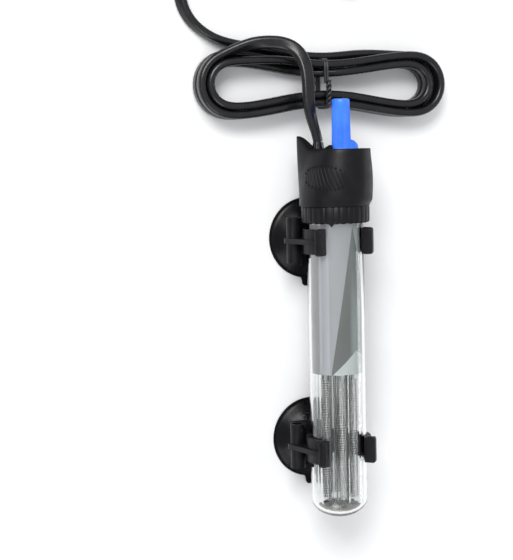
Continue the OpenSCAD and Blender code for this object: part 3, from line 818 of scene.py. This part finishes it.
def make_pad():
    """The wad of mineral wool in the tip, with a lumpy top where the sheaths press in."""
    top = height("base_pad", low=False)
    r = (glass_hi.y - glass_lo.y) / 2 / MM - GLASS_WALL - 0.15
    deep = DOME_H - GLASS_WALL - 0.5
    rings = []
    for i in range(13):
        z = DOME_H - deep * math.cos(math.radians(90 * i / 12))
        if z > top:
            break
        ring_r = r * math.sin(math.radians(90 * i / 12))
        rings.append(circle(ring_r, z, 72))
    edge = r * math.sin(math.acos((DOME_H - top) / deep))
    for k in range(9):
        share = 1 - k / 9
        ring = []
        for x, y, _ in circle(edge * share * 0.995, 0, 72):
            lump = 0.35 * math.sin(x * 1.7 + 1) * math.cos(y * 1.9) + 0.18 * math.sin(x * 4.1 + y * 3.3)
            ring.append((x, y, top + lump * min(1.0, (1 - share) * 5) - 0.1))
        rings.append(ring)
    rings.append([(0, 0, top + 0.2)])
    bm = bmesh.new()
    loft(bm, rings)
    piece("mineral_wool", bm, fibre(), "heater", TUBE, ("base_pad",), 80)


# ---------------------------------------------------------------- head

HEAD_FOOT = 138.6
RIM = 163.4
PEAK_RISE = 5.9
FOOT_R = 15.5
FLANK = math.radians(125)
RIM_R = 12.7
TIP_AWAY = 17.8
TIP_R = 2.5
RIM_WALL = 1.15
SEAT = RIM - 1.5
DIAL_R = 11.6
SIDES = 144


def rim_radius(turn):
    """How far the rim is from the knob's axis: round in front, drawn out to a rounded point behind."""
    turn = abs((turn + math.pi) % (2 * math.pi) - math.pi)
    if turn <= FLANK:
        return RIM_R
    off = math.pi - turn
    reach = TIP_AWAY * math.sin(off)
    if reach < TIP_R and off < math.radians(6.1):
        return TIP_AWAY * math.cos(off) + math.sqrt(TIP_R ** 2 - reach ** 2)
    return RIM_R / math.cos(turn - FLANK)


def rim_height(x):
    """The rim's level: flat in front and sweeping up to the peak behind the cord."""
    return RIM + PEAK_RISE * smoothstep((-9.0 - x) / 8.0)


def shell_point(turn, share):
    """A point on the head's outside, from its foot at 0 to its rim at 1."""
    c, s = math.cos(turn), math.sin(turn)
    r = rim_radius(turn)
    x1, y1 = KNOB_OFFSET + r * c, r * s
    z1 = rim_height(x1)
    x0, y0 = FOOT_R * c, FOOT_R * s
    k = share ** 1.25
    bulge = max(0.0, c) * math.sin(math.pi * min(1.0, share * 0.8 + 0.28))
    swell = 0.35 * math.sin(math.pi * share) + bulge
    x = x0 + (x1 - x0) * k + swell * c
    y = y0 + (y1 - y0) * k + swell * s
    return Vector((x, y, HEAD_FOOT + (z1 - HEAD_FOOT) * share))


def make_head():
    """The cap: its outside, the thin rim, the sloping deck and the dial's seat."""
    turns = [2 * math.pi * i / SIDES for i in range(SIDES)]
    rings = []
    rings.append([(12.75 * math.cos(a), 12.75 * math.sin(a), HEAD_FOOT) for a in turns])
    lip = [(FOOT_R - 0.5, 0.0), (FOOT_R - 0.12, 0.12), (FOOT_R, 0.45), (FOOT_R, 0.95)]
    for r, up in lip:
        rings.append([(r * math.cos(a), r * math.sin(a), HEAD_FOOT + up) for a in turns])
    for k in range(1, 21):
        share = 0.05 + 0.92 * k / 20
        rings.append([shell_point(a, share) for a in turns])

    def level(a, inset, drop):
        r = rim_radius(a)
        x = KNOB_OFFSET + r * math.cos(a)
        return (KNOB_OFFSET + (r - inset) * math.cos(a), (r - inset) * math.sin(a), rim_height(x) - drop)

    for inset, drop in ((0.05, 0.28), (0.2, 0.08), (0.42, 0.0),
                        (RIM_WALL - 0.4, 0.0), (RIM_WALL - 0.12, 0.14)):
        rings.append([level(a, inset, drop) for a in turns])
    for k in range(9):
        s = 1 - k / 8
        ring = []
        for a in turns:
            r = rim_radius(a) - RIM_WALL
            edge = rim_height(KNOB_OFFSET + rim_radius(a) * math.cos(a)) - 0.4
            radius = DIAL_R + (r - DIAL_R) * s
            z = (RIM - 1.0) + (edge - RIM + 1.0) * s ** 2.0
            ring.append((KNOB_OFFSET + radius * math.cos(a), radius * math.sin(a), z))
        rings.append(ring)
    for r in (DIAL_R - 0.02, 2.2):
        rings.append([(KNOB_OFFSET + r * math.cos(a), r * math.sin(a), SEAT) for a in turns])
    bm = bmesh.new()
    loft(bm, rings)
    add_ramp(bm)
    add_collar_lip(bm)
    piece("head_shell", bm, BLACK, "heater", HEAD, ("head_cap",), 40)
    bm = bmesh.new()
    for side in (-1, 1):
        add_grip(bm, side)
    add_seam(bm)
    piece("head_grips", bm, BLACK, "heater", HEAD, (), 50)


def add_ramp(bm):
    """The stop behind the knob: a ramp that falls away from it."""
    half = math.radians(57)
    steps = 24
    profile = [(5.2, SEAT), (5.2, RIM + 1.5), (5.5, RIM + 1.7), (9.3, SEAT + 0.6), (9.5, SEAT)]
    rings = []
    for i in range(steps + 1):
        a = math.pi - half + 2 * half * i / steps
        rings.append([(KNOB_OFFSET + r * math.cos(a), r * math.sin(a), z) for r, z in profile])
    loft(bm, rings, caps=(True, True))


def add_collar_lip(bm):
    """A raised lip round the cord's way out."""
    outer = stadium(CORD_W + 3.0, CORD_T + 3.0, 10)
    inner = stadium(CORD_W + 1.5, CORD_T + 1.5, 10)
    back = -7.0
    levels = [(outer, SEAT - 0.2), (outer, RIM + 0.05), (stadium(CORD_W + 2.6, CORD_T + 2.6, 10), RIM + 0.3),
              (inner, RIM + 0.3), (inner, SEAT - 0.2)]
    loft(bm, [[(back + x, y, z) for x, y in ring] for ring, z in levels])


def stadium(w, t, steps):
    """A flat cord's outline, w across (y) and t through (x)."""
    points = []
    for side in (1, -1):
        for i in range(steps + 1):
            a = math.pi * i / steps + (0 if side > 0 else math.pi)
            points.append((t / 2 * math.cos(a), side * (w - t) / 2 + t / 2 * math.sin(a)))
    return points


def surface_frame(turn, share):
    """A point on the shell with its outward, around and upward directions."""
    p = shell_point(turn, share)
    around = (shell_point(turn + 0.01, share) - p).normalized()
    up = (shell_point(turn, share + 0.01) - p).normalized()
    return p, around.cross(up).normalized(), around, up


def add_grip(bm, side):
    """An oval patch of slanting ribs on the side of the head, each with a small bead at both ends."""
    half_w, half_h = 11.4, 5.4
    centre_h = RIM - 12.3
    ribs = 13
    slant = 0.55
    rib_half = 0.42

    def on_shell(u, v):
        """Around by u and up by v, in millimetres from the patch's middle, seen from outside."""
        share = (centre_h + v - HEAD_FOOT) / (RIM - HEAD_FOOT)
        turn = side * (math.pi / 2 + 0.16) + u / 14.6
        return surface_frame(turn, share)

    for k in range(ribs):
        mid_u = -half_w + (k + 0.5) * 2 * half_w / ribs
        span = half_h * math.sqrt(max(0.05, 1 - (mid_u / half_w) ** 2)) * 0.95
        rings = []
        for i in range(13):
            t = i / 12 * 2 - 1
            u = mid_u - slant * t * span * 0.9
            v = t * span
            wide = rib_half * math.sqrt(max(0.0, 1 - t ** 6)) + 0.02
            tall = 0.34 * math.sqrt(max(0.0, 1 - t ** 4)) + 0.02
            p, out, around, up = on_shell(u, v)
            along = (up - around * slant * 0.9).normalized()
            across = along.cross(out)
            rings.append([p + across * wide * math.cos(a) + out * (tall * math.sin(a) - 0.12)
                          for a in (math.pi * j / 6 for j in range(7))])
        loft(bm, rings, closed=False)
        for t in (-1.0, 1.0):
            u = mid_u - slant * t * span * 0.9
            p, out, around, up = on_shell(u, t * span)
            add_bead(bm, p, out, around, 0.5, 0.55)


def add_bead(bm, p, out, around, radius, tall):
    """A small raised dome."""
    up = out.cross(around)
    rings = []
    for j in range(4):
        a = math.pi / 2 * j / 4
        rings.append([p + radius * math.cos(a) * (math.cos(b) * around + math.sin(b) * up) + out * tall * math.sin(a)
                      for b in (2 * math.pi * i / 12 for i in range(12))])
    rings.append([p + out * tall])
    loft(bm, rings)


def add_seam(bm):
    """The mould's parting line down the front."""
    rings = []
    for i in range(25):
        p, out, around, up = surface_frame(0.0, 0.04 + 0.94 * i / 24)
        rings.append([p - around * 0.16 - out * 0.03, p + out * 0.07, p + around * 0.16 - out * 0.03])
    loft(bm, rings, closed=False)


def make_collar():
    """The grip ring under the head: broad upright flutes, a scalloped foot and one small pointer."""
    z0, z1 = height("collar_ring"), height("collar_ring", low=False)
    outer = 14.95
    bore = 12.75
    ribs = 28
    steps = ribs * 12

    def radius(a):
        wave = (0.5 + 0.5 * math.cos(ribs * a)) ** 5
        return outer + 0.3 * math.cos(a - math.radians(52)) - 0.24 * wave

    levels = [(0.0, -1.1, 0.9), (0.25, -0.35, 0.35), (0.7, -0.05, 0.05), (1.4, 0.0, 0.0),
              (z1 - z0 - 0.3, 0.0, 0.0), (z1 - z0, -0.15, 0.0)]
    rings = [circle(bore, z0 + 0.5, steps)]
    for up, off, scallop in levels:
        ring = []
        for i in range(steps):
            a = 2 * math.pi * i / steps
            r = radius(a) + off
            notch = scallop * 0.35 * (0.5 + 0.5 * math.cos(ribs * a)) ** 3
            ring.append((r * math.cos(a), r * math.sin(a), z0 + up + notch))
        rings.append(ring)
    rings.append(circle(bore, z1, steps))
    bm = bmesh.new()
    loft(bm, rings)
    a = -math.radians(28)
    out = Vector((math.cos(a), math.sin(a), 0))
    side = Vector((-math.sin(a), math.cos(a), 0))
    front = out * 14.6
    down = Vector((0, 0, z0))
    corners = [front - side * 1.5 + down + Vector((0, 0, 0.6)), front - Vector((0, 0, 1.3)) + down,
               front + side * 1.5 + down + Vector((0, 0, 0.6))]
    rear = [c - out * 1.6 for c in corners]
    loft(bm, [corners, rear], caps=(True, True))
    piece("collar_grip", bm, BLACK, "heater", TUBE, ("collar_ring",), 40)


# ---------------------------------------------------------------- dial and knob

SECTORS = 10
SECTOR = 22.5
FIRST_NUMBER = 17


def make_dial():
    """Lines and numbers on the white plate. Seen from the knob, the numbers grow clockwise."""
    top = height("dial_plate", low=False)
    bm = bmesh.new()
    ink = 0.04
    for k in range(1, SECTORS):
        a = math.radians(SECTOR * SECTORS / 2 - SECTOR * k)
        turn = Matrix.Rotation(a, 4, "Z")
        corners = [(5.2, -0.17), (11.2, -0.17), (11.2, 0.17), (5.2, 0.17)]
        prism(bm, [(turn @ Vector((x, y, 0)))[:2] for x, y in corners], top - 0.02, top + ink)
    piece("dial_lines", bm, DIAL_INK, "heater", KNOB, (), 30)
    for k in range(SECTORS):
        a = math.radians(SECTOR * (SECTORS - 1) / 2 - SECTOR * k)
        curve = bpy.data.curves.new(f"number_{k}", "FONT")
        curve.body = str(FIRST_NUMBER + 2 * k)
        curve.size = 2.75
        curve.align_x = "CENTER"
        curve.align_y = "CENTER"
        curve.extrude = ink / 2
        curve.offset = 0.035
        curve.resolution_u = 3
        text = link(bpy.data.objects.new(f"number_{k}", curve))
        bpy.context.view_layer.update()
        mesh = bpy.data.meshes.new_from_object(text.evaluated_get(bpy.context.evaluated_depsgraph_get()))
        bpy.data.objects.remove(text)
        bm = bmesh.new()
        bm.from_mesh(mesh)
        place = KNOB @ Matrix.Rotation(a, 4, "Z") @ Matrix.Translation((9.55, 0, top + ink / 2)) \
            @ Matrix.Rotation(math.pi / 2, 4, "Z")
        piece(f"dial_number_{FIRST_NUMBER + 2 * k}", bm, DIAL_INK, "heater", place, (), 30)


def make_knob():
    """The blue knob: fine flutes that fade out at a smooth rim, a dished top, and a quarter-round pointer."""
    z0, z1 = height("control_knob"), height("control_knob", low=False)
    r0, r1 = 4.25, 3.85
    flutes = 38
    steps = flutes * 6
    tall = z1 - z0
    levels = [(0.0, -0.25, 0.0), (0.2, 0.0, 0.0), (0.5, 0.0, 0.6), (1.0, 0.0, 1.0)]
    levels += [(1.0 + (tall - 4.2) * k / 8, 0.0, 1.0) for k in range(1, 9)]
    levels += [(tall - 2.6, 0.02, 0.45), (tall - 2.1, 0.05, 0.0), (tall - 0.9, 0.05, 0.0),
               (tall - 0.35, -0.08, 0.0), (tall - 0.06, -0.45, 0.0), (tall, -0.9, 0.0),
               (tall - 0.12, -1.4, 0.0), (tall - 0.4, -2.4, 0.0)]
    rings = [[(0, 0, z0)]]
    for up, off, depth in levels:
        r = r0 + (r1 - r0) * up / tall + off
        ring = []
        for i in range(steps):
            a = 2 * math.pi * i / steps
            flute = (0.24 - 0.12 * up / tall) * depth * (0.5 + 0.5 * math.cos(flutes * a))
            ring.append(((r - flute) * math.cos(a), (r - flute) * math.sin(a), z0 + up))
        rings.append(ring)
    rings.append([(0, 0, z1 - 0.55)])
    bm = bmesh.new()
    loft(bm, rings)
    outline = [(2.0, z0 + 0.15), (2.0, z0 + 4.3)]
    outline += [(r0 - 0.4 + (7.5 - r0 + 0.4) * math.cos(math.radians(a)), z0 + 0.15 + 4.15 * math.sin(math.radians(a)))
                for a in range(90, -1, -9)]
    layers = []
    for y, inset in ((-0.85, 0.22), (-0.7, 0.05), (-0.45, 0.0), (0.45, 0.0), (0.7, 0.05), (0.85, 0.22)):
        layers.append([(min(x, 7.5 - inset) if x > 6 else x, y, z - (inset if z > z0 + 3 else 0))
                       for x, z in outline])
    loft(bm, layers, caps=(True, True))
    piece("blue_knob", bm, BLUE, "knob", KNOB, ("control_knob",), 32)


# ---------------------------------------------------------------- suction cups

def make_cup(which):
    """A glossy cup with a rolled rim, a soft bell, its neck and button, and a pull tab."""
    node, body = f"{which}_cup", f"{which}_cup"
    lo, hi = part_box(node)
    joint = next(j for j in frame["joints"] if j["name"] == f"{which}_cup_spin")
    x, y, _ = joint["pos_m"]
    place = Matrix.Translation((x, y, 0)) @ ROW
    r = (hi.y - lo.y) / 2 / MM
    top = hi.z / MM
    neck, button, base = 2.95, 4.1, 9.8
    under = [(0, 3.2), (5, 3.0), (10, 2.35), (14, 1.2), (16.2, 0.15), (16.7, 0.0)]
    rim = [(r - 0.35, 0.0)] + arc(r - 0.42, 0.42, 0.42, -60, 100, 6) + [(r - 1.0, 0.86), (r - 1.5, 1.05)]
    bell = [(16.0, 1.75), (14.6, 2.8), (12.8, 4.1), (10.8, 5.3), (8.8, 6.3), (7.4, 6.95), (6.7, 7.5),
            (6.45, 8.0), (6.4, base - 0.4), (6.1, base)]
    stem = [(neck + 0.3, base), (neck, base + 0.25), (neck, 11.7), (button - 0.2, 11.9), (button, 12.2),
            (button, top - 0.6), (button - 0.5, top - 0.1), (button - 1.2, top), (0, top)]
    bm = lathe(under + rim + bell + stem, 128)
    tab = []
    half = 3.0
    reach = r + 3.6
    for u, v in ((r - 1.5, -half - 0.9), (r + 0.9, -half), (reach - 1.0, -half + 0.2), (reach, -half + 1.1),
                 (reach, half - 1.1), (reach - 1.0, half - 0.2), (r + 0.9, half), (r - 1.5, half + 0.9)):
        tab.append((u, v))
    prism(bm, tab, 0.02, 0.75)
    piece(f"{which}_suction_cup", bm, CUP_BLACK, body, place, (node,), 38)


# ---------------------------------------------------------------- clips

LIP_ANGLE = 47.5
LIP_MIDDLE = 15.05
LIP_REACH = 2.4
LIP_HALF_W = 1.8
LIP_HALF_H = 5.9


def make_lips(which):
    """The clip's two springy ends: upright bars with rounded corners, and a nub outside each."""
    node = f"{which}_clip"
    middle = (height(node) + height(node, low=False)) / 2
    bm = bmesh.new()
    for side in (-1, 1):
        turn = Matrix.Rotation(math.radians(side * LIP_ANGLE), 4, "Z")
        rings = []
        for k in range(-8, 9):
            t = k / 8
            z = LIP_HALF_H * math.sin(t * math.pi / 2)
            end = max(0.0, (abs(z) - LIP_HALF_H + 1.3) / 1.3)
            shrink = 1.15 * (1 - math.sqrt(max(0.0, 1 - end * end)))
            ring = []
            for i in range(32):
                a = 2 * math.pi * i / 32
                c, n = math.cos(a), math.sin(a)
                x = math.copysign(abs(c) ** 0.45, c) * (LIP_REACH - shrink)
                y = math.copysign(abs(n) ** 0.45, n) * (LIP_HALF_W - shrink)
                ring.append(turn @ Vector((LIP_MIDDLE + x, y, middle + z)))
            rings.append(ring)
        loft(bm, rings, caps=(True, True))
        out = turn @ Vector((0, side, 0))
        spot = turn @ Vector((LIP_MIDDLE + 0.4, side * (LIP_HALF_W - 0.15), middle))
        add_bead(bm, spot, out, Vector((0, 0, 1)), 1.1, 0.75)
    piece(f"{which}_clip_lips", bm, CLIP_BLACK, node, TUBE, (), 40)


# ---------------------------------------------------------------- build

add_camera()
add_stage()
cord, cord_line, cord_total = make_cord()
plug = make_plug()
tie = make_tie()
make_glass()
make_sheaths()
make_pad()
make_head()
make_collar()
make_dial()
make_knob()
for which in ("upper", "lower"):
    make_cup(which)
    moulded(f"{which}_clip", CLIP_BLACK, f"{which}_clip", 0.3)
    make_lips(which)

CAD_FINISHES = {
    "label_sleeve": foil(), "seal_ring": SEAL, "sealing_bung": SEAL, "cable_gland": CORD_BLACK,
    "dial_plate": DIAL_WHITE, "dial_bush": BLACK, "knob_spindle": BRASS, "spindle_oring": SEAL,
    "spindle_clip": SPRING, "adjuster_nut": NYLON, "thermostat_frame": PLATED, "adjusting_arm": SPRING,
    "fixed_contact": SILVER, "bimetal_strip": BIMETAL, "moving_contact": SILVER, "armature_plate": PLATED,
    "snap_magnet": MAGNET, "neon_lamp": LAMP, "lamp_resistor": RESISTOR, "wire_terminals": BRASS,
    "cable_cores": CORES, "feed_wires": SLEEVE, "coil_crimps": PLATED, "element_disc": CERAMIC}
for node, material in CAD_FINISHES.items():
    NODES[node].data.materials.clear()
    NODES[node].data.materials.append(material)
